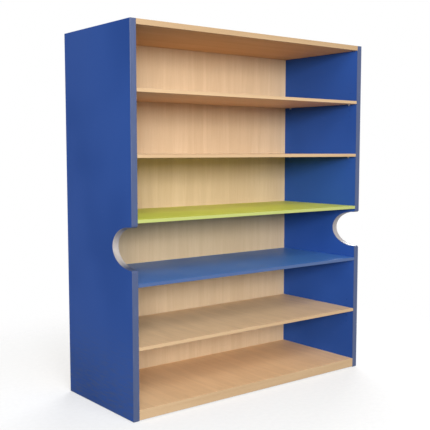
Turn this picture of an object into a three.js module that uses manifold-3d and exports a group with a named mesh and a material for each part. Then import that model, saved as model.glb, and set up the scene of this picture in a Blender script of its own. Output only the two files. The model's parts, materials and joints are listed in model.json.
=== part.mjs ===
// Library shelving unit: two notched side panels, open bays, a closed back.
// Millimetres, +Z up, the open front faces -Y, origin on the floor under the centre.
import * as THREE from 'three';
import { mergeVertices } from 'three/addons/utils/BufferGeometryUtils.js';
import Module from 'manifold-3d';

const wasm = await Module();
wasm.setup();

// Overall size
const overallWidth = 1500;
const overallDepth = 600;
const overallHeight = 1800;

// The shelves between the bottom board and the top board, counted upwards
const shelves = [
  { name: 'lower_shelf', loose: true, finish: 'beech' },
  { name: 'blue_shelf', loose: false, finish: 'blueShelf' },
  { name: 'green_shelf', loose: false, finish: 'green' },
  { name: 'upper_shelf_2', loose: true, finish: 'beech' },
  { name: 'upper_shelf_1', loose: true, finish: 'beech' },
];

// Boards
const sideThickness = 32;
const topThickness = 25;
const shelfThickness = 16;
const bottomThickness = 16;
const backThickness = 12;
const backInset = 18;
const backFloorGap = 10;
const plinthThickness = 18;
const plinthHeight = 30;
const plinthFloorGap = 6;

// Front edge bands, and the rounding of the bands and the side panels
const bandThickness = 2;
const glueGap = 0.3;
const edgeRadius = 1.2;
const edgeSegments = 2;

// Half-oval notch in the front edge of each side panel, below the green shelf
const notchHeight = 190;
const notchDepth = 165;
const notchBelowShelf = 19;
const notchLipRadius = 12;
const notchSegments = 48;
const lipSegments = 6;

// Groove that holds the back panel in each side panel
const grooveDepth = 10;
const grooveGap = 0.3;

// Loose shelves and their pins
const shelfEndGap = 1;
const shelfBackGap = 2;
const shelfSeatGap = 0.3;
const pinShankRadius = 2.5;
const pinShankLength = 9;
const pinHeadRadius = 4;
const pinHeadLength = 9;
const pinRounding = 1;
const pinHoleGap = 0.3;
const pinRowInset = 50;
const pinPitch = 32;
const pinHolesEachWay = 2;
const pinSides = 10;

// Dowels that join the fixed boards to the side panels
const dowelRadius = 4;
const dowelLength = 34;
const dowelInSide = 15;
const dowelInset = 90;
const dowelChamfer = 1.2;
const dowelHoleGap = 0.3;
const dowelSides = 10;

// Floor glides
const glideRadius = 11;
const glideThickness = 3;
const glideRounding = 1;
const glideSpigotRadius = 3;
const glideSpigotLength = 12;
const glideHoleGap = 0.3;
const glideInset = 60;
const glideSides = 16;

// How far a cutter stands out of the face that it enters
const cutOvershoot = 1;
const weldDistance = 1e-4;

// Places worked out from the sizes above
const frontY = -overallDepth / 2;
const rearY = overallDepth / 2;
const innerWidth = overallWidth - 2 * sideThickness;
const sideX = (innerWidth + sideThickness) / 2;
const backFrontY = rearY - backInset - backThickness;
const boardFrontY = frontY + bandThickness + glueGap;
const topBottomZ = overallHeight - topThickness;
const bottomTopZ = plinthFloorGap + plinthHeight + bottomThickness;
const bayPitch = (topBottomZ - bottomTopZ + shelfThickness) / (shelves.length + 1);
shelves.forEach((shelf, index) => {
  shelf.topZ = bottomTopZ + (index + 1) * bayPitch;
});
const shelfOverNotch = shelves.find((shelf) => shelf.name === 'green_shelf');
const notchTopZ = shelfOverNotch.topZ - shelfThickness - notchBelowShelf;
const notchCentreZ = notchTopZ - notchHeight / 2;
const notchReachZ = notchHeight / 2 + notchLipRadius;

// Pins, dowels and glides stand in a front row and a rear row
const rows = ['front', 'rear'];
const pinRowsY = [frontY + pinRowInset, backFrontY - pinRowInset];
const dowelRowsY = [frontY + dowelInset, backFrontY - dowelInset];
const glideRowsY = [frontY + glideInset, rearY - glideInset];
const pinAxisDrop = shelfThickness + shelfSeatGap + pinHeadRadius;
const plinthDowelY = frontY + plinthThickness / 2;
const plinthDowelZ = plinthFloorGap + plinthHeight / 2;
const sides = [{ name: 'left', sign: -1 }, { name: 'right', sign: 1 }];

const finishes = {
  beech: { color: 0xcfa178, roughness: 0.5, metalness: 0 },
  beechBand: { color: 0xe6c79a, roughness: 0.45, metalness: 0 },
  blue: { color: 0x2d4a8c, roughness: 0.45, metalness: 0 },
  blueBand: { color: 0x64769f, roughness: 0.4, metalness: 0 },
  notchBand: { color: 0xc9c1bd, roughness: 0.4, metalness: 0 },
  blueShelf: { color: 0x586ca0, roughness: 0.45, metalness: 0 },
  blueShelfBand: { color: 0x4f66a4, roughness: 0.4, metalness: 0 },
  green: { color: 0xb4bc54, roughness: 0.45, metalness: 0 },
  greenBand: { color: 0xd6e28c, roughness: 0.4, metalness: 0 },
  dowelWood: { color: 0xd9b98c, roughness: 0.7, metalness: 0 },
  steel: { color: 0xb9bcc0, roughness: 0.3, metalness: 1 },
  nylon: { color: 0x2b2b2e, roughness: 0.6, metalness: 0 },
};
const materials = {};
for (const [name, look] of Object.entries(finishes)) {
  materials[name] = new THREE.MeshStandardMaterial(look);
}

// Closed mesh to solid and back, for cuts
function toSolid(geometry) {
  const bare = geometry.index ? geometry.toNonIndexed() : geometry.clone();
  bare.deleteAttribute('normal');
  bare.deleteAttribute('uv');
  const merged = mergeVertices(bare, weldDistance);
  return new wasm.Manifold(new wasm.Mesh({
    numProp: 3,
    vertProperties: new Float32Array(merged.attributes.position.array),
    triVerts: new Uint32Array(merged.index.array),
  }));
}

function toGeometry(solid) {
  const mesh = solid.getMesh();
  const geometry = new THREE.BufferGeometry();
  geometry.setAttribute('position', new THREE.BufferAttribute(mesh.vertProperties, 3));
  geometry.setIndex(new THREE.BufferAttribute(mesh.triVerts, 1));
  geometry.computeVertexNormals();
  return geometry;
}

function cut(geometry, tools) {
  let solid = toSolid(geometry);
  for (const tool of tools) {
    solid = solid.subtract(toSolid(tool));
  }
  return toGeometry(solid);
}

// A box given by its lowest and highest corner
function boxBetween(low, high) {
  const size = high.map((value, axis) => value - low[axis]);
  const box = new THREE.BoxGeometry(...size);
  return box.translate(...low.map((value, axis) => value + size[axis] / 2));
}

// A drill that enters a face at faceX and goes depth deep; inward is its way along X
function drillAlongX(radius, faceX, inward, depth, y, z, facets) {
  const drill = new THREE.CylinderGeometry(radius, radius, depth + cutOvershoot, facets);
  drill.rotateZ(Math.PI / 2);
  return drill.translate(faceX + inward * (depth - cutOvershoot) / 2, y, z);
}

// A turned piece along Y, from a profile of [radius, place along the axis]
function turned(profile, facets) {
  const points = profile.map(([radius, along]) => new THREE.Vector2(radius, along));
  return new THREE.LatheGeometry(points, facets);
}

const group = new THREE.Group();

function place(name, geometry, finish, position) {
  const mesh = new THREE.Mesh(geometry, materials[finish]);
  mesh.name = name;
  mesh.position.set(...position);
  group.add(mesh);
}

// Front edge of a side panel, set back by an offset, from the bottom to the top.
// The notch is half an ellipse whose mouth is rounded into the edge on both sides.
function frontEdgePoints(offset, pastEnds = 0) {
  const edgeY = frontY + offset;
  const mouthY = frontY + notchLipRadius;
  const lip = notchLipRadius - offset;
  const lowerLip = new THREE.EllipseCurve(
    mouthY, notchCentreZ - notchReachZ, lip, lip, Math.PI, Math.PI / 2, true);
  const oval = new THREE.EllipseCurve(
    mouthY, notchCentreZ, notchDepth - notchLipRadius + offset, notchHeight / 2 + offset,
    -Math.PI / 2, Math.PI / 2, false);
  const upperLip = new THREE.EllipseCurve(
    mouthY, notchCentreZ + notchReachZ, lip, lip, -Math.PI / 2, -Math.PI, true);
  return [
    new THREE.Vector2(edgeY, glideThickness - pastEnds),
    ...lowerLip.getPoints(lipSegments),
    ...oval.getPoints(notchSegments).slice(1),
    ...upperLip.getPoints(lipSegments).slice(1),
    new THREE.Vector2(edgeY, overallHeight + pastEnds),
  ];
}

// A shape in Y and Z, extruded along X to a width, with its long edges rounded by a radius
function extrudeAlongX(shape, width, radius = 0) {
  const geometry = new THREE.ExtrudeGeometry(shape, {
    depth: width - 2 * radius,
    curveSegments: edgeSegments,
    bevelEnabled: radius > 0,
    bevelThickness: radius,
    bevelSize: radius,
    bevelOffset: -radius,
    bevelSegments: edgeSegments,
  });
  geometry.translate(0, 0, radius - width / 2);
  return geometry.applyMatrix4(new THREE.Matrix4().makeBasis(
    new THREE.Vector3(0, 1, 0), new THREE.Vector3(0, 0, 1), new THREE.Vector3(1, 0, 0)));
}

// Everything behind, or in front of, a side panel's front edge that is set back by an offset
function sideRegion(offset, farY) {
  return extrudeAlongX(new THREE.Shape([
    ...frontEdgePoints(offset, cutOvershoot),
    new THREE.Vector2(farY, overallHeight + cutOvershoot),
    new THREE.Vector2(farY, glideThickness - cutOvershoot),
  ]), sideThickness + 2 * cutOvershoot);
}

function dowelHole(faceX, inward, depth, y, z) {
  return drillAlongX(dowelRadius + dowelHoleGap, faceX, inward, depth + dowelHoleGap, y, z, dowelSides);
}

// Rows of blind holes for the pins of one loose shelf, with spare holes above and below
function pinHoles(faceX, inward, shelf) {
  const holes = [];
  for (let step = -pinHolesEachWay; step <= pinHolesEachWay; step += 1) {
    const z = shelf.topZ - pinAxisDrop + step * pinPitch;
    for (const y of pinRowsY) {
      holes.push(drillAlongX(pinShankRadius + pinHoleGap, faceX, inward,
        pinShankLength + pinHoleGap, y, z, pinSides));
    }
  }
  return holes;
}

// Everything that is cut into a side panel; inward is the way from its inner face into the panel
function sidePanelCuts(inward) {
  const faceX = -inward * sideThickness / 2;
  const cuts = [dowelHole(faceX, inward, dowelInSide, plinthDowelY, plinthDowelZ)];
  const fixedBoardsZ = [
    topBottomZ + topThickness / 2,
    bottomTopZ - bottomThickness / 2,
    ...shelves.filter((shelf) => !shelf.loose).map((shelf) => shelf.topZ - shelfThickness / 2),
  ];
  for (const z of fixedBoardsZ) {
    cuts.push(...dowelRowsY.map((y) => dowelHole(faceX, inward, dowelInSide, y, z)));
  }
  for (const shelf of shelves.filter((each) => each.loose)) {
    cuts.push(...pinHoles(faceX, inward, shelf));
  }
  const grooveX = [faceX - inward * cutOvershoot, faceX + inward * grooveDepth];
  cuts.push(boxBetween(
    [Math.min(...grooveX), backFrontY - grooveGap, glideThickness - cutOvershoot],
    [Math.max(...grooveX), backFrontY + backThickness + grooveGap, topBottomZ]));
  for (const y of glideRowsY) {
    const radius = glideSpigotRadius + glideHoleGap;
    const depth = glideSpigotLength + glideHoleGap;
    const hole = new THREE.CylinderGeometry(radius, radius, depth + cutOvershoot, glideSides);
    hole.rotateX(Math.PI / 2);
    cuts.push(hole.translate(0, y, glideThickness + (depth - cutOvershoot) / 2));
  }
  return cuts;
}

// A rounded board that is parted into the panel and three bands: below, round and above the notch
function addSidePanel(side) {
  const board = extrudeAlongX(new THREE.Shape([
    ...frontEdgePoints(0),
    new THREE.Vector2(rearY, overallHeight),
    new THREE.Vector2(rearY, glideThickness),
  ]), sideThickness, edgeRadius);
  const inFront = sideRegion(bandThickness + glueGap, frontY - cutOvershoot);
  const behind = sideRegion(bandThickness, rearY + cutOvershoot);
  const band = toSolid(board).subtract(toSolid(behind));
  const above = (solid, z) => solid.trimByPlane([0, 0, 1], z);
  const below = (solid, z) => solid.trimByPlane([0, 0, -1], -z);
  const lowZ = notchCentreZ - notchReachZ;
  const highZ = notchCentreZ + notchReachZ;
  const position = [side.sign * sideX, 0, 0];
  place(`${side.name}_side_panel`, cut(board, [inFront, ...sidePanelCuts(side.sign)]), 'blue', position);
  place(`${side.name}_lower_band`, toGeometry(below(band, lowZ - glueGap)), 'blueBand', position);
  place(`${side.name}_notch_band`, toGeometry(below(above(band, lowZ), highZ)), 'notchBand', position);
  place(`${side.name}_upper_band`, toGeometry(above(band, highZ + glueGap)), 'blueBand', position);
}

// Dowel holes in both ends of a board of the given width, at half its thickness
function endDowelHoles(width, rowsY, z) {
  const depth = dowelLength - dowelInSide;
  return sides.flatMap((side) => rowsY.map(
    (y) => dowelHole(side.sign * width / 2, -side.sign, depth, y, z)));
}

function addDowels(board, rowsY, rowNames, z) {
  const centreX = innerWidth / 2 + dowelInSide - dowelLength / 2;
  const half = dowelLength / 2;
  const tip = dowelRadius - dowelChamfer;
  const profile = [
    [0, -half], [tip, -half], [dowelRadius, -half + dowelChamfer],
    [dowelRadius, half - dowelChamfer], [tip, half], [0, half],
  ];
  for (const side of sides) {
    rowsY.forEach((y, index) => {
      const dowel = turned(profile, dowelSides).rotateZ(Math.PI / 2);
      const name = [board, 'dowel', side.name, rowNames[index]].join('_');
      place(name, dowel, 'dowelWood', [side.sign * centreX, y, z]);
    });
  }
}

// Section of a straight front band, with its two front edges rounded; its top is at height 0
function bandSection(thickness) {
  const section = new THREE.Shape();
  section.moveTo(frontY + bandThickness, 0);
  section.absarc(frontY + edgeRadius, -edgeRadius, edgeRadius, Math.PI / 2, Math.PI, false);
  section.absarc(frontY + edgeRadius, edgeRadius - thickness, edgeRadius, Math.PI, 1.5 * Math.PI, false);
  section.lineTo(frontY + bandThickness, -thickness);
  return section;
}

// A flat board with its front band; its top face is at topZ
function addBoard({ name, width, backY, thickness, topZ, finish, holes }) {
  const board = boxBetween([-width / 2, boardFrontY, -thickness], [width / 2, backY, 0]);
  place(name, cut(board, holes), finish, [0, 0, topZ]);
  place(`${name}_band`, extrudeAlongX(bandSection(thickness), width), `${finish}Band`, [0, 0, topZ]);
}

function addFixedBoard(name, backY, thickness, topZ, finish) {
  const holes = endDowelHoles(innerWidth, dowelRowsY, -thickness / 2);
  addBoard({ name, width: innerWidth, backY, thickness, topZ, finish, holes });
  addDowels(name, dowelRowsY, rows, topZ - thickness / 2);
}

function addLooseShelf({ name, topZ, finish }) {
  const width = innerWidth - 2 * shelfEndGap;
  const backY = backFrontY - shelfBackGap;
  addBoard({ name, width, backY, thickness: shelfThickness, topZ, finish, holes: [] });
}

// Stepped pins: the shank goes into the side panel, the head carries the shelf
function addPins({ name, topZ }) {
  const profile = [
    [0, -pinHeadLength], [pinHeadRadius - pinRounding, -pinHeadLength],
    [pinHeadRadius, pinRounding - pinHeadLength], [pinHeadRadius, 0],
    [pinShankRadius, 0], [pinShankRadius, pinShankLength], [0, pinShankLength],
  ];
  for (const side of sides) {
    pinRowsY.forEach((y, index) => {
      const pin = turned(profile, pinSides).rotateZ(-side.sign * Math.PI / 2);
      place([name, 'pin', side.name, rows[index]].join('_'), pin, 'steel',
        [side.sign * innerWidth / 2, y, topZ - pinAxisDrop]);
    });
  }
}

function addBackPanel() {
  const half = innerWidth / 2 + grooveDepth - grooveGap;
  const panel = boxBetween([-half, 0, backFloorGap], [half, backThickness, topBottomZ]);
  place('back_panel', panel, 'beech', [0, backFrontY, 0]);
}

function addPlinth() {
  const rail = boxBetween(
    [-innerWidth / 2, -plinthThickness / 2, -plinthHeight / 2],
    [innerWidth / 2, plinthThickness / 2, plinthHeight / 2]);
  const holes = endDowelHoles(innerWidth, [0], 0);
  place('plinth_rail', cut(rail, holes), 'beech', [0, plinthDowelY, plinthDowelZ]);
  addDowels('plinth', [plinthDowelY], ['end'], plinthDowelZ);
}

function addGlides() {
  const spigotTop = glideThickness + glideSpigotLength;
  const profile = [
    [0, 0], [glideRadius - glideRounding, 0], [glideRadius, glideRounding],
    [glideRadius, glideThickness], [glideSpigotRadius, glideThickness],
    [glideSpigotRadius, spigotTop], [0, spigotTop],
  ];
  for (const side of sides) {
    glideRowsY.forEach((y, index) => {
      const glide = turned(profile, glideSides).rotateX(Math.PI / 2);
      place(`glide_${side.name}_${rows[index]}`, glide, 'nylon', [side.sign * sideX, y, 0]);
    });
  }
}

sides.forEach(addSidePanel);
addFixedBoard('top_board', rearY, topThickness, overallHeight, 'beech');
addFixedBoard('bottom_board', backFrontY, bottomThickness, bottomTopZ, 'beech');
for (const shelf of shelves) {
  if (shelf.loose) {
    addLooseShelf(shelf);
    addPins(shelf);
  } else {
    addFixedBoard(shelf.name, backFrontY, shelfThickness, shelf.topZ, shelf.finish);
  }
}
addBackPanel();
addPlinth();
addGlides();

export default group;
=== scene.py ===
"""Looks for the library shelving unit: materials, softened edges, rear screws, light and camera.
Metres, +Z up, the open front faces -Y, origin on the floor under the centre."""

import json
import math

import bmesh
import bpy
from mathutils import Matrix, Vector

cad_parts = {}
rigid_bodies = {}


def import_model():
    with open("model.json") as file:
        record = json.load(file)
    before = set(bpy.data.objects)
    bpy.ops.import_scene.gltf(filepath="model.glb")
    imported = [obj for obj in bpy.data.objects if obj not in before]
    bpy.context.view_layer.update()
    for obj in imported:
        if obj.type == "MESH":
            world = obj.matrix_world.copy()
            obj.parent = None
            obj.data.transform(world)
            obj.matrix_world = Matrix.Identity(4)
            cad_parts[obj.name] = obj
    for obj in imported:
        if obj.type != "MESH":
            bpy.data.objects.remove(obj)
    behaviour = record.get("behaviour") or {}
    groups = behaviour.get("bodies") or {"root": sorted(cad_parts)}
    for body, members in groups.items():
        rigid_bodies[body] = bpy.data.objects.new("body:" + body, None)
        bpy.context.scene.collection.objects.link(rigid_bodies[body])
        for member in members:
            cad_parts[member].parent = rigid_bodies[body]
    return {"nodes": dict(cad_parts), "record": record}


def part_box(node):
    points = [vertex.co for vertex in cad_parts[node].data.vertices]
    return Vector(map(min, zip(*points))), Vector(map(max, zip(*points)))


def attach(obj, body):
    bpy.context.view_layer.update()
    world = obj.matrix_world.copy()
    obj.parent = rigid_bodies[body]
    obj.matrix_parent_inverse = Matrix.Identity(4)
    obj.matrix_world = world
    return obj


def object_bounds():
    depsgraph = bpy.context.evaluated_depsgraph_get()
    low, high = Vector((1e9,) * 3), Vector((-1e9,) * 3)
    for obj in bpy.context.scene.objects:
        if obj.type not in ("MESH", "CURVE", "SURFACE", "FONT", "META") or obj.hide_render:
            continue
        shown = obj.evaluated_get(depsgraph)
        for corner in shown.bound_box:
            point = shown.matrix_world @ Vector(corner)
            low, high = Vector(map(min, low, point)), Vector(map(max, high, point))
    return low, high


for leftover in list(bpy.data.objects):
    bpy.data.objects.remove(leftover)
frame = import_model()
cad_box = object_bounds()

# Camera, from the corners of the unit in the photograph
IMAGE_SIZE = 430
FOCAL_PIXELS = 772.8
SENSOR_WIDTH = 36.0
CAMERA_PLACE = (-2.573, -3.189, 1.224)
CAMERA_YAW = math.radians(38.43)
CAMERA_PITCH = math.radians(5.33)
CAMERA_SHIFT_UP = 0.02

# Light
WHITE = (1.0, 1.0, 1.0, 1.0)
WORLD_LEVEL = 0.22
LAMPS = {
    "key": {"place": (-4.4, -6.95, 2.42), "width": 4.2, "height": 1.6, "power": 665.0},
    "high": {"place": (-0.8, -4.0, 3.6), "width": 3.4, "height": 2.2, "power": 155.0},
    "rear": {"place": (4.2, 4.2, 3.0), "width": 4.4, "height": 3.4, "power": 420.0},
}

# Floor: how far it reaches, where it fades into the white, its own glow, and the grey that lights see
FLOOR_REACH = 9.0
FLOOR_SIDES = 96
FLOOR_FADE = (0.9, 2.3)
FLOOR_GLOW = 0.54
FLOOR_ROUGHNESS = 0.9
FLOOR_BOUNCE = (0.2, 0.2, 0.2, 1.0)

# Softened edges of the boards
WELD_REACH = 1e-5
EDGE_WIDTH = 0.0005
EDGE_STEPS = 2
EDGE_ANGLE = math.radians(40)
SHELF_BOARDS = ("bottom_board", "lower_shelf", "upper_shelf_1", "upper_shelf_2")
SOFTENED = SHELF_BOARDS + ("back_panel", "plinth_rail", "top_board", "blue_shelf", "green_shelf")

# Rear screws; the dome and the recess are shares of the head's radius and rise
SCREWED_BOARDS = ("bottom_board", "blue_shelf", "green_shelf")
SCREWS_IN_ROW = 5
SCREW_END_INSET = 0.09
SCREW_HEAD_RADIUS = 0.0036
SCREW_HEAD_RISE = 0.0006
SCREW_FACETS = 20
SCREW_DOME = ((1.0, -0.5), (0.97, 0.45), (0.72, 0.85), (0.34, 1.0))
RECESS_DEPTH = 0.0005
RECESS_ARM = 0.30
RECESS_WAIST = 0.12

# Wear: how high the kick marks reach, and the shares of the notch's depth where its band turns pale
SCUFF_TOP = 0.5
NOTCH_RUB = (0.25, 0.75)

# Finishes: roughness in the smoothest and the roughest spots, and the specular level
MATT = {"rough": (0.54, 0.68), "gloss": 0.25}
DUSTY = {"rough": (0.6, 0.72), "gloss": 0.1}
SATIN = {"rough": (0.42, 0.54), "gloss": 0.4}
FACING = {"rough": (0.46, 0.58), "gloss": 0.08}
PLAIN_GLOSS = 0.5

# The span that most values of a noise pattern lie in
PATTERN = (0.3, 0.7)


def linear(red, green, blue):
    """A colour in display values from 0 to 255, as the linear values that the nodes take."""
    def channel(value):
        part = value / 255
        return part / 12.92 if part <= 0.04045 else ((part + 0.055) / 1.055) ** 2.4
    return channel(red), channel(green), channel(blue), 1.0


class Look:
    """A material with its shader, and short ways to add nodes to it."""

    def __init__(self, name):
        self.material = bpy.data.materials.new(name)
        self.material.use_nodes = True
        self.tree = self.material.node_tree
        self.shader = self.tree.nodes["Principled BSDF"]
        surface = self.add("ShaderNodeTexCoord")
        self.place = surface.outputs["Object"]
        self.facing = surface.outputs["Normal"]

    def add(self, kind, **settings):
        node = self.tree.nodes.new(kind)
        for key, value in settings.items():
            setattr(node, key, value)
        return node

    def link(self, source, target):
        self.tree.links.new(source, target)

    def level(self, socket, value):
        """A value that is the same all over the surface."""
        self.shader.inputs[socket].default_value = value

    def stretched(self, scale):
        mapping = self.add("ShaderNodeMapping")
        mapping.inputs["Scale"].default_value = scale
        self.link(self.place, mapping.inputs["Vector"])
        return mapping.outputs["Vector"]

    def noise(self, place, scale, detail=3.0, roughness=0.5, distortion=0.0):
        node = self.add("ShaderNodeTexNoise")
        node.inputs["Scale"].default_value = scale
        node.inputs["Detail"].default_value = detail
        node.inputs["Roughness"].default_value = roughness
        node.inputs["Distortion"].default_value = distortion
        self.link(place, node.inputs["Vector"])
        return node.outputs["Fac"]

    def spread(self, value, low, high, to_low=0.0, to_high=1.0):
        node = self.add("ShaderNodeMapRange", interpolation_type="SMOOTHSTEP")
        node.inputs["From Min"].default_value = low
        node.inputs["From Max"].default_value = high
        node.inputs["To Min"].default_value = to_low
        node.inputs["To Max"].default_value = to_high
        self.link(value, node.inputs["Value"])
        return node.outputs["Result"]

    def times(self, first, second):
        node = self.add("ShaderNodeMath", operation="MULTIPLY")
        self.link(first, node.inputs[0])
        self.link(second, node.inputs[1])
        return node.outputs[0]

    def without_sign(self, value):
        node = self.add("ShaderNodeMath", operation="ABSOLUTE")
        self.link(value, node.inputs[0])
        return node.outputs[0]

    def part(self, vector, axis):
        split = self.add("ShaderNodeSeparateXYZ")
        self.link(vector, split.inputs[0])
        return split.outputs[axis]

    def blend(self, factor, first, second):
        """Mixes two colours, each a colour value or a node's output, by a node's output."""
        node = self.add("ShaderNodeMix", data_type="RGBA")
        self.link(factor, node.inputs[0])
        for socket, value in ((node.inputs[6], first), (node.inputs[7], second)):
            if isinstance(value, tuple):
                socket.default_value = value
            else:
                self.link(value, socket)
        return node.outputs[2]

    def colour(self, source):
        self.link(source, self.shader.inputs["Base Color"])

    def finish(self, pattern, rough, gloss=PLAIN_GLOSS):
        """Roughness that follows a pattern, and one specular level."""
        self.link(self.spread(pattern, *PATTERN, *rough), self.shader.inputs["Roughness"])
        self.level("Specular IOR Level", gloss)

    def bump(self, height, distance, strength, below=None):
        node = self.add("ShaderNodeBump")
        node.inputs["Strength"].default_value = strength
        node.inputs["Distance"].default_value = distance
        self.link(height, node.inputs["Height"])
        if below is not None:
            self.link(below, node.inputs["Normal"])
        self.link(node.outputs["Normal"], self.shader.inputs["Normal"])
        return node.outputs["Normal"]


def along(axis, length, across):
    """Scale that stretches a pattern along one axis."""
    return tuple(length if letter == axis else across for letter in "XYZ")


def top_light_and_wear(look):
    """Share of a paler tone on the faces that look up: painted light, in uneven streaks front to back
    like the wear where books slide.
    """
    streaks = look.noise(look.stretched(along("Y", 1.5, 14.0)), scale=2.0, detail=4.0, roughness=0.6)
    # strength of the painted light and the wear, streaked front to back
    wear = look.spread(streaks, *PATTERN, to_low=0.55, to_high=0.85)
    upward = look.spread(look.part(look.facing, "Z"), 0.4, 0.8)
    return look.times(upward, wear)


def beech(name, axis, pale, mid, dark, rough, gloss, rubbed=None):
    """Beech face with soft figure, fine fibres and the short dark flecks of the wood."""
    look = Look(name)
    figure = look.noise(look.stretched(along(axis, 0.55, 9.0)), scale=2.2, detail=4.0, distortion=0.6)
    fibre = look.noise(look.stretched(along(axis, 2.5, 170.0)), scale=3.0, detail=4.0, roughness=0.6)
    fleck = look.noise(look.stretched(along(axis, 55.0, 620.0)), scale=2.4, detail=1.0)
    tone = look.noise(look.place, scale=1.3, detail=1.0)
    flecks = look.spread(fleck, 0.66, 0.74, to_high=0.5)
    body = look.blend(look.spread(figure, 0.32, 0.68), mid, pale)
    body = look.blend(look.spread(tone, 0.35, 0.75, to_high=0.35), body, mid)
    body = look.blend(look.spread(fibre, 0.42, 0.78, to_high=0.26), body, dark)
    body = look.blend(flecks, body, dark)
    # rubbed is the paler tone of the faces that look up: painted light, streaked like wear
    if rubbed:
        body = look.blend(top_light_and_wear(look), body, rubbed)
    look.colour(body)
    look.finish(fibre, rough, gloss)
    grain = look.bump(fibre, distance=0.0002, strength=0.35)
    look.bump(flecks, distance=0.0001, strength=0.4, below=grain)
    return look.material


def kick_marks(look):
    """Share of kick marks: low down on the outer faces of the side panels, none on their inner faces."""
    near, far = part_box("left_side_panel")
    kick = look.noise(look.stretched((18.0, 6.0, 60.0)), scale=2.0, detail=5.0, roughness=0.65)
    marks = look.spread(kick, 0.4, 0.68, to_low=0.05, to_high=0.65)
    low = look.spread(look.part(look.place, "Z"), 0.0, SCUFF_TOP, to_low=1.0, to_high=0.0)
    off_centre = look.without_sign(look.part(look.place, "X"))
    outside = look.spread(off_centre, abs(far[0]), abs(near[0]))
    return look.times(look.times(marks, low), outside)


def faced_board(name, main, shade, worn, rough, gloss, scuff=None):
    """Coloured melamine facing: fine pearl texture, slow drift of tone, faint rubs and kick marks."""
    look = Look(name)
    drift = look.noise(look.place, scale=1.6, detail=2.0)
    pearl = look.noise(look.place, scale=900.0, detail=2.0)
    rub = look.noise(look.stretched(along("Y", 5.0, 30.0)), scale=3.0, detail=5.0, roughness=0.7)
    body = look.blend(look.spread(drift, 0.35, 0.68), main, shade)
    body = look.blend(look.spread(rub, 0.6, 0.8, to_high=0.3), body, worn)
    if scuff:
        body = look.blend(kick_marks(look), body, scuff)
    look.colour(body)
    look.finish(drift, rough, gloss)
    look.bump(pearl, distance=0.00012, strength=0.35)
    return look.material


def drawn_lines(look, axis):
    """Fine lines along a band, from the die that it was drawn through."""
    return look.noise(look.stretched(along(axis, 1.6, 420.0)), scale=2.4, detail=3.0)


def edge_band(name, axis, main, shade, pale):
    """Plastic or veneer band: faint drawn lines along it, lighter where hands and books rub it."""
    look = Look(name)
    lines = drawn_lines(look, axis)
    rub = look.noise(look.stretched(along(axis, 5.0, 40.0)), scale=3.0, detail=4.0, roughness=0.65)
    body = look.blend(look.spread(lines, *PATTERN), main, shade)
    look.colour(look.blend(look.spread(rub, 0.52, 0.78, to_high=0.5), body, pale))
    look.finish(rub, rough=(0.30, 0.44))
    look.bump(lines, distance=0.0001, strength=0.3)
    return look.material


def notch_band(name, main, shade, pale, bare):
    """The side panels' band where it lines the notch: grey-blue at the lips, rubbed pale deep inside."""
    look = Look(name)
    lines = drawn_lines(look, "X")
    rub = look.noise(look.stretched(along("X", 60.0, 16.0)), scale=1.0, detail=4.0, roughness=0.6)
    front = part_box("left_notch_band")[0][1]
    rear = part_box("left_notch_band")[1][1]
    turns, turned = (front + share * (rear - front) for share in NOTCH_RUB)
    depth = look.spread(look.part(look.place, "Y"), turns, turned)
    body = look.blend(look.spread(lines, *PATTERN), main, shade)
    inside = look.blend(look.spread(rub, *PATTERN), pale, bare)
    look.colour(look.blend(depth, body, inside))
    look.finish(rub, rough=(0.34, 0.5))
    look.bump(lines, distance=0.0001, strength=0.3)
    return look.material


def plated_steel(name, main, bright):
    look = Look(name)
    turned = look.noise(look.stretched(along("X", 900.0, 60.0)), scale=2.0, detail=3.0)
    haze = look.noise(look.place, scale=260.0, detail=3.0)
    look.colour(look.blend(look.spread(haze, *PATTERN), main, bright))
    look.level("Metallic", 1.0)
    look.finish(turned, rough=(0.24, 0.42))
    look.bump(turned, distance=0.00003, strength=0.4)
    return look.material


def nylon(name, main, dusty):
    look = Look(name)
    grain = look.noise(look.place, scale=1400.0, detail=2.0)
    dust = look.noise(look.place, scale=90.0, detail=4.0)
    look.colour(look.blend(look.spread(dust, 0.4, 0.75), main, dusty))
    look.finish(dust, rough=(0.5, 0.68))
    look.bump(grain, distance=0.00006, strength=0.4)
    return look.material


BACK_BEECH = {"pale": linear(216, 191, 157), "mid": linear(208, 182, 147), "dark": linear(180, 146, 110)}
BOARD_BEECH = {"pale": linear(208, 171, 130), "mid": linear(200, 162, 120), "dark": linear(170, 128, 90)}
# Band colours are darker copies of the board beech, so the forward faces that catch more light come out
# darker: painted shade, deepest on the top board's band
SHADED_TOP_EDGE_BEECH = {"pale": linear(174, 147, 113), "mid": linear(166, 138, 104), "dark": linear(142, 110, 78)}
SHADED_EDGE_BEECH = {"pale": linear(188, 160, 125), "mid": linear(180, 151, 116), "dark": linear(158, 125, 91)}
# Paler tone of the shelves' faces that look up: painted light, with streaks of wear
TOP_LIGHT_AND_WEAR_BEECH = linear(241, 203, 157)
BLUE_BAND = {"main": linear(60, 73, 107), "shade": linear(55, 68, 102)}

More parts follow.
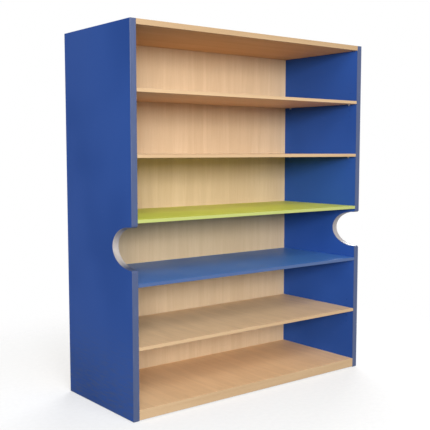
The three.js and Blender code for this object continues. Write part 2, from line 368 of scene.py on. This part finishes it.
back_face = beech("beech_back_grain_upright", "Z", **BACK_BEECH, **MATT)
shelf_face = beech("beech_shelf_grain_across", "X", **BOARD_BEECH, **SATIN, rubbed=TOP_LIGHT_AND_WEAR_BEECH)
# darker copies of the beech for the bands: painted shade on the forward faces
top_band = beech("darker_shaded_beech_band", "X", **SHADED_TOP_EDGE_BEECH, **MATT)
beech_band = beech("shaded_beech_band", "X", **SHADED_EDGE_BEECH, **MATT)
slot_materials = {
    "blue_panel": faced_board("blue_melamine", linear(44, 83, 161), linear(39, 75, 148),
                              linear(76, 107, 172), **FACING, scuff=linear(72, 86, 116)),
    "blue_edge_band": edge_band("grey_blue_band", "Z", **BLUE_BAND, pale=linear(80, 93, 123)),
    "notch_edge_band": notch_band("rubbed_notch_band", **BLUE_BAND, pale=linear(150, 144, 145),
                                  bare=linear(166, 158, 154)),
    "beech_board": beech("beech_board_grain_across", "X", **BOARD_BEECH, **DUSTY),
    "beech_edge_band": beech_band,
    "blue_shelf": faced_board("blue_shelf_facing", linear(64, 114, 188), linear(60, 108, 181),
                              linear(92, 132, 194), **SATIN),
    "blue_shelf_edge_band": edge_band("blue_shelf_band", "X", linear(60, 84, 128), linear(55, 79, 123),
                                      linear(82, 102, 142)),
    "green_shelf": faced_board("green_shelf_facing", linear(216, 224, 88), linear(208, 216, 82),
                               linear(226, 230, 120), **SATIN),
    "green_edge_band": edge_band("pale_green_band", "X", linear(166, 173, 100), linear(159, 167, 93),
                                 linear(184, 190, 126)),
    "dowel_wood": beech("dowel_beech", "X", **SHADED_EDGE_BEECH, **MATT),
    "steel_pin": plated_steel("zinc_plated_steel", linear(176, 178, 182), linear(204, 205, 206)),
    "glide_nylon": nylon("dark_nylon", linear(40, 40, 43), linear(72, 70, 68)),
}
node_materials = {part["node"]: slot_materials[part["material_slot"]]
                  for part in frame["record"]["subparts"]}
node_materials.update({board: shelf_face for board in SHELF_BOARDS})
node_materials.update(back_panel=back_face, top_board_band=top_band, plinth_rail=beech_band)


def soften_edges(node):
    """Welds the facets together and eases the sawn edges of a board."""
    node.modifiers.new("weld", "WELD").merge_threshold = WELD_REACH
    bevel = node.modifiers.new("eased_edges", "BEVEL")
    bevel.width = EDGE_WIDTH
    bevel.segments = EDGE_STEPS
    bevel.limit_method = "ANGLE"
    bevel.angle_limit = EDGE_ANGLE


for name, node in frame["nodes"].items():
    for material_slot in node.material_slots:
        material_slot.material = node_materials[name]
    if name in SOFTENED:
        soften_edges(node)


def add_ring(mesh, place, reaches, rise):
    """A ring of points round a screw's axis, which lies along Y, with a share of the radius for each."""
    ring = []
    for step, reach in enumerate(reaches):
        angle = 2 * math.pi * step / SCREW_FACETS
        radius = SCREW_HEAD_RADIUS * reach
        offset = Vector((radius * math.cos(angle), rise, radius * math.sin(angle)))
        ring.append(mesh.verts.new(place + offset))
    return ring


def join_rings(mesh, first, second):
    for step in range(SCREW_FACETS):
        after = (step + 1) % SCREW_FACETS
        mesh.faces.new((first[step], second[step], second[after], first[after]))


def screw_head(mesh, place):
    """A low domed head with a cross recess, facing +Y, seated in the rear of the back panel."""
    rings = []
    for reach, rise in SCREW_DOME:
        rings.append(add_ring(mesh, place, [reach] * SCREW_FACETS, SCREW_HEAD_RISE * rise))
    arm_steps = SCREW_FACETS // 4
    cross = [RECESS_WAIST if step % arm_steps else RECESS_ARM for step in range(SCREW_FACETS)]
    rings.append(add_ring(mesh, place, cross, SCREW_HEAD_RISE - RECESS_DEPTH))
    mesh.faces.new(rings[0])
    for first, second in zip(rings, rings[1:]):
        join_rings(mesh, first, second)
    mesh.faces.new(rings[-1])


def add_screw_row(board):
    """Screws through the back panel into the rear edge of a fixed board."""
    low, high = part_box(board)
    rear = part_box("back_panel")[1][1]
    height = (low[2] + high[2]) / 2
    first = low[0] + SCREW_END_INSET
    last = high[0] - SCREW_END_INSET
    mesh = bmesh.new()
    for step in range(SCREWS_IN_ROW):
        across = first + (last - first) * step / (SCREWS_IN_ROW - 1)
        screw_head(mesh, Vector((across, rear, height)))
    bmesh.ops.recalc_face_normals(mesh, faces=mesh.faces)
    row = mesh_object(f"{board}_rear_screws", mesh, slot_materials["steel_pin"])
    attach(row, "carcass")


def mesh_object(name, mesh, material):
    """Turns the mesh into an object of the scene."""
    data = bpy.data.meshes.new(name)
    mesh.to_mesh(data)
    mesh.free()
    data.materials.append(material)
    made = bpy.data.objects.new(name, data)
    bpy.context.scene.collection.objects.link(made)
    return made


for board in SCREWED_BOARDS:
    add_screw_row(board)


def seen_rays(tree):
    """1 for rays from the camera, from gloss and through glass, which see the white surroundings."""
    path = tree.nodes.new("ShaderNodeLightPath")
    seen = path.outputs["Is Camera Ray"]
    for ray in ("Is Glossy Ray", "Is Transmission Ray"):
        either = tree.nodes.new("ShaderNodeMath")
        either.operation = "MAXIMUM"
        tree.links.new(seen, either.inputs[0])
        tree.links.new(path.outputs[ray], either.inputs[1])
        seen = either.outputs[0]
    return seen


def mix_shaders(look, factor, first, second):
    mix = look.add("ShaderNodeMixShader")
    look.link(factor, mix.inputs[0])
    look.link(first.outputs[0], mix.inputs[1])
    look.link(second.outputs[0], mix.inputs[2])
    return mix


def floor_material():
    """Pale floor: white with a soft shadow near the unit, fading into the white surroundings."""
    look = Look("pale_floor")
    grain = look.noise(look.place, scale=40.0, detail=3.0)
    look.colour(look.blend(look.spread(grain, *PATTERN), linear(172, 172, 172), linear(176, 176, 176)))
    look.level("Roughness", FLOOR_ROUGHNESS)
    look.level("Specular IOR Level", 0.0)
    look.level("Emission Color", WHITE)
    look.level("Emission Strength", FLOOR_GLOW)
    span = look.add("ShaderNodeVectorMath", operation="LENGTH")
    look.link(look.place, span.inputs[0])
    fade = look.spread(span.outputs["Value"], *FLOOR_FADE)
    shown = mix_shaders(look, fade, look.shader, look.add("ShaderNodeBsdfTransparent"))
    dull = look.add("ShaderNodeBsdfDiffuse")
    dull.inputs["Color"].default_value = FLOOR_BOUNCE
    either = mix_shaders(look, seen_rays(look.tree), dull, shown)
    look.link(either.outputs[0], look.tree.nodes["Material Output"].inputs["Surface"])
    return look.material


def add_floor():
    mesh = bmesh.new()
    bmesh.ops.create_circle(mesh, cap_ends=True, radius=FLOOR_REACH, segments=FLOOR_SIDES)
    floor = mesh_object("floor", mesh, floor_material())


def set_world():
    """White behind the unit and in its gloss; a plainer level lights it."""
    world = bpy.data.worlds.new("studio")
    bpy.context.scene.world = world
    world.use_nodes = True
    tree = world.node_tree
    background = tree.nodes["Background"]
    background.inputs["Color"].default_value = WHITE
    level = tree.nodes.new("ShaderNodeMapRange")
    level.inputs["To Min"].default_value = WORLD_LEVEL
    level.inputs["To Max"].default_value = 1.0
    tree.links.new(seen_rays(tree), level.inputs["Value"])
    tree.links.new(level.outputs["Result"], background.inputs["Strength"])


def add_soft_lamp(name, target, place, width, height, power):
    data = bpy.data.lights.new(name, "AREA")
    data.shape = "RECTANGLE"
    data.size = width
    data.size_y = height
    data.energy = power
    lamp = bpy.data.objects.new(name, data)
    lamp.location = place
    aim = Vector(target) - Vector(place)
    lamp.rotation_euler = aim.to_track_quat("-Z", "Y").to_euler()
    bpy.context.scene.collection.objects.link(lamp)


def add_camera():
    data = bpy.data.cameras.new("photo_camera")
    data.sensor_fit = "HORIZONTAL"
    data.sensor_width = SENSOR_WIDTH
    data.lens = SENSOR_WIDTH * FOCAL_PIXELS / IMAGE_SIZE
    data.shift_y = CAMERA_SHIFT_UP
    camera = bpy.data.objects.new("photo_camera", data)
    camera.location = CAMERA_PLACE
    camera.rotation_euler = (math.pi / 2 - CAMERA_PITCH, 0.0, -CAMERA_YAW)
    bpy.context.scene.collection.objects.link(camera)
    bpy.context.scene.camera = camera


middle = (cad_box[0] + cad_box[1]) / 2
add_floor()
set_world()
for lamp_name, lamp in LAMPS.items():
    add_soft_lamp(lamp_name, middle, **lamp)
add_camera()
bpy.context.scene.view_settings.view_transform = "Standard"
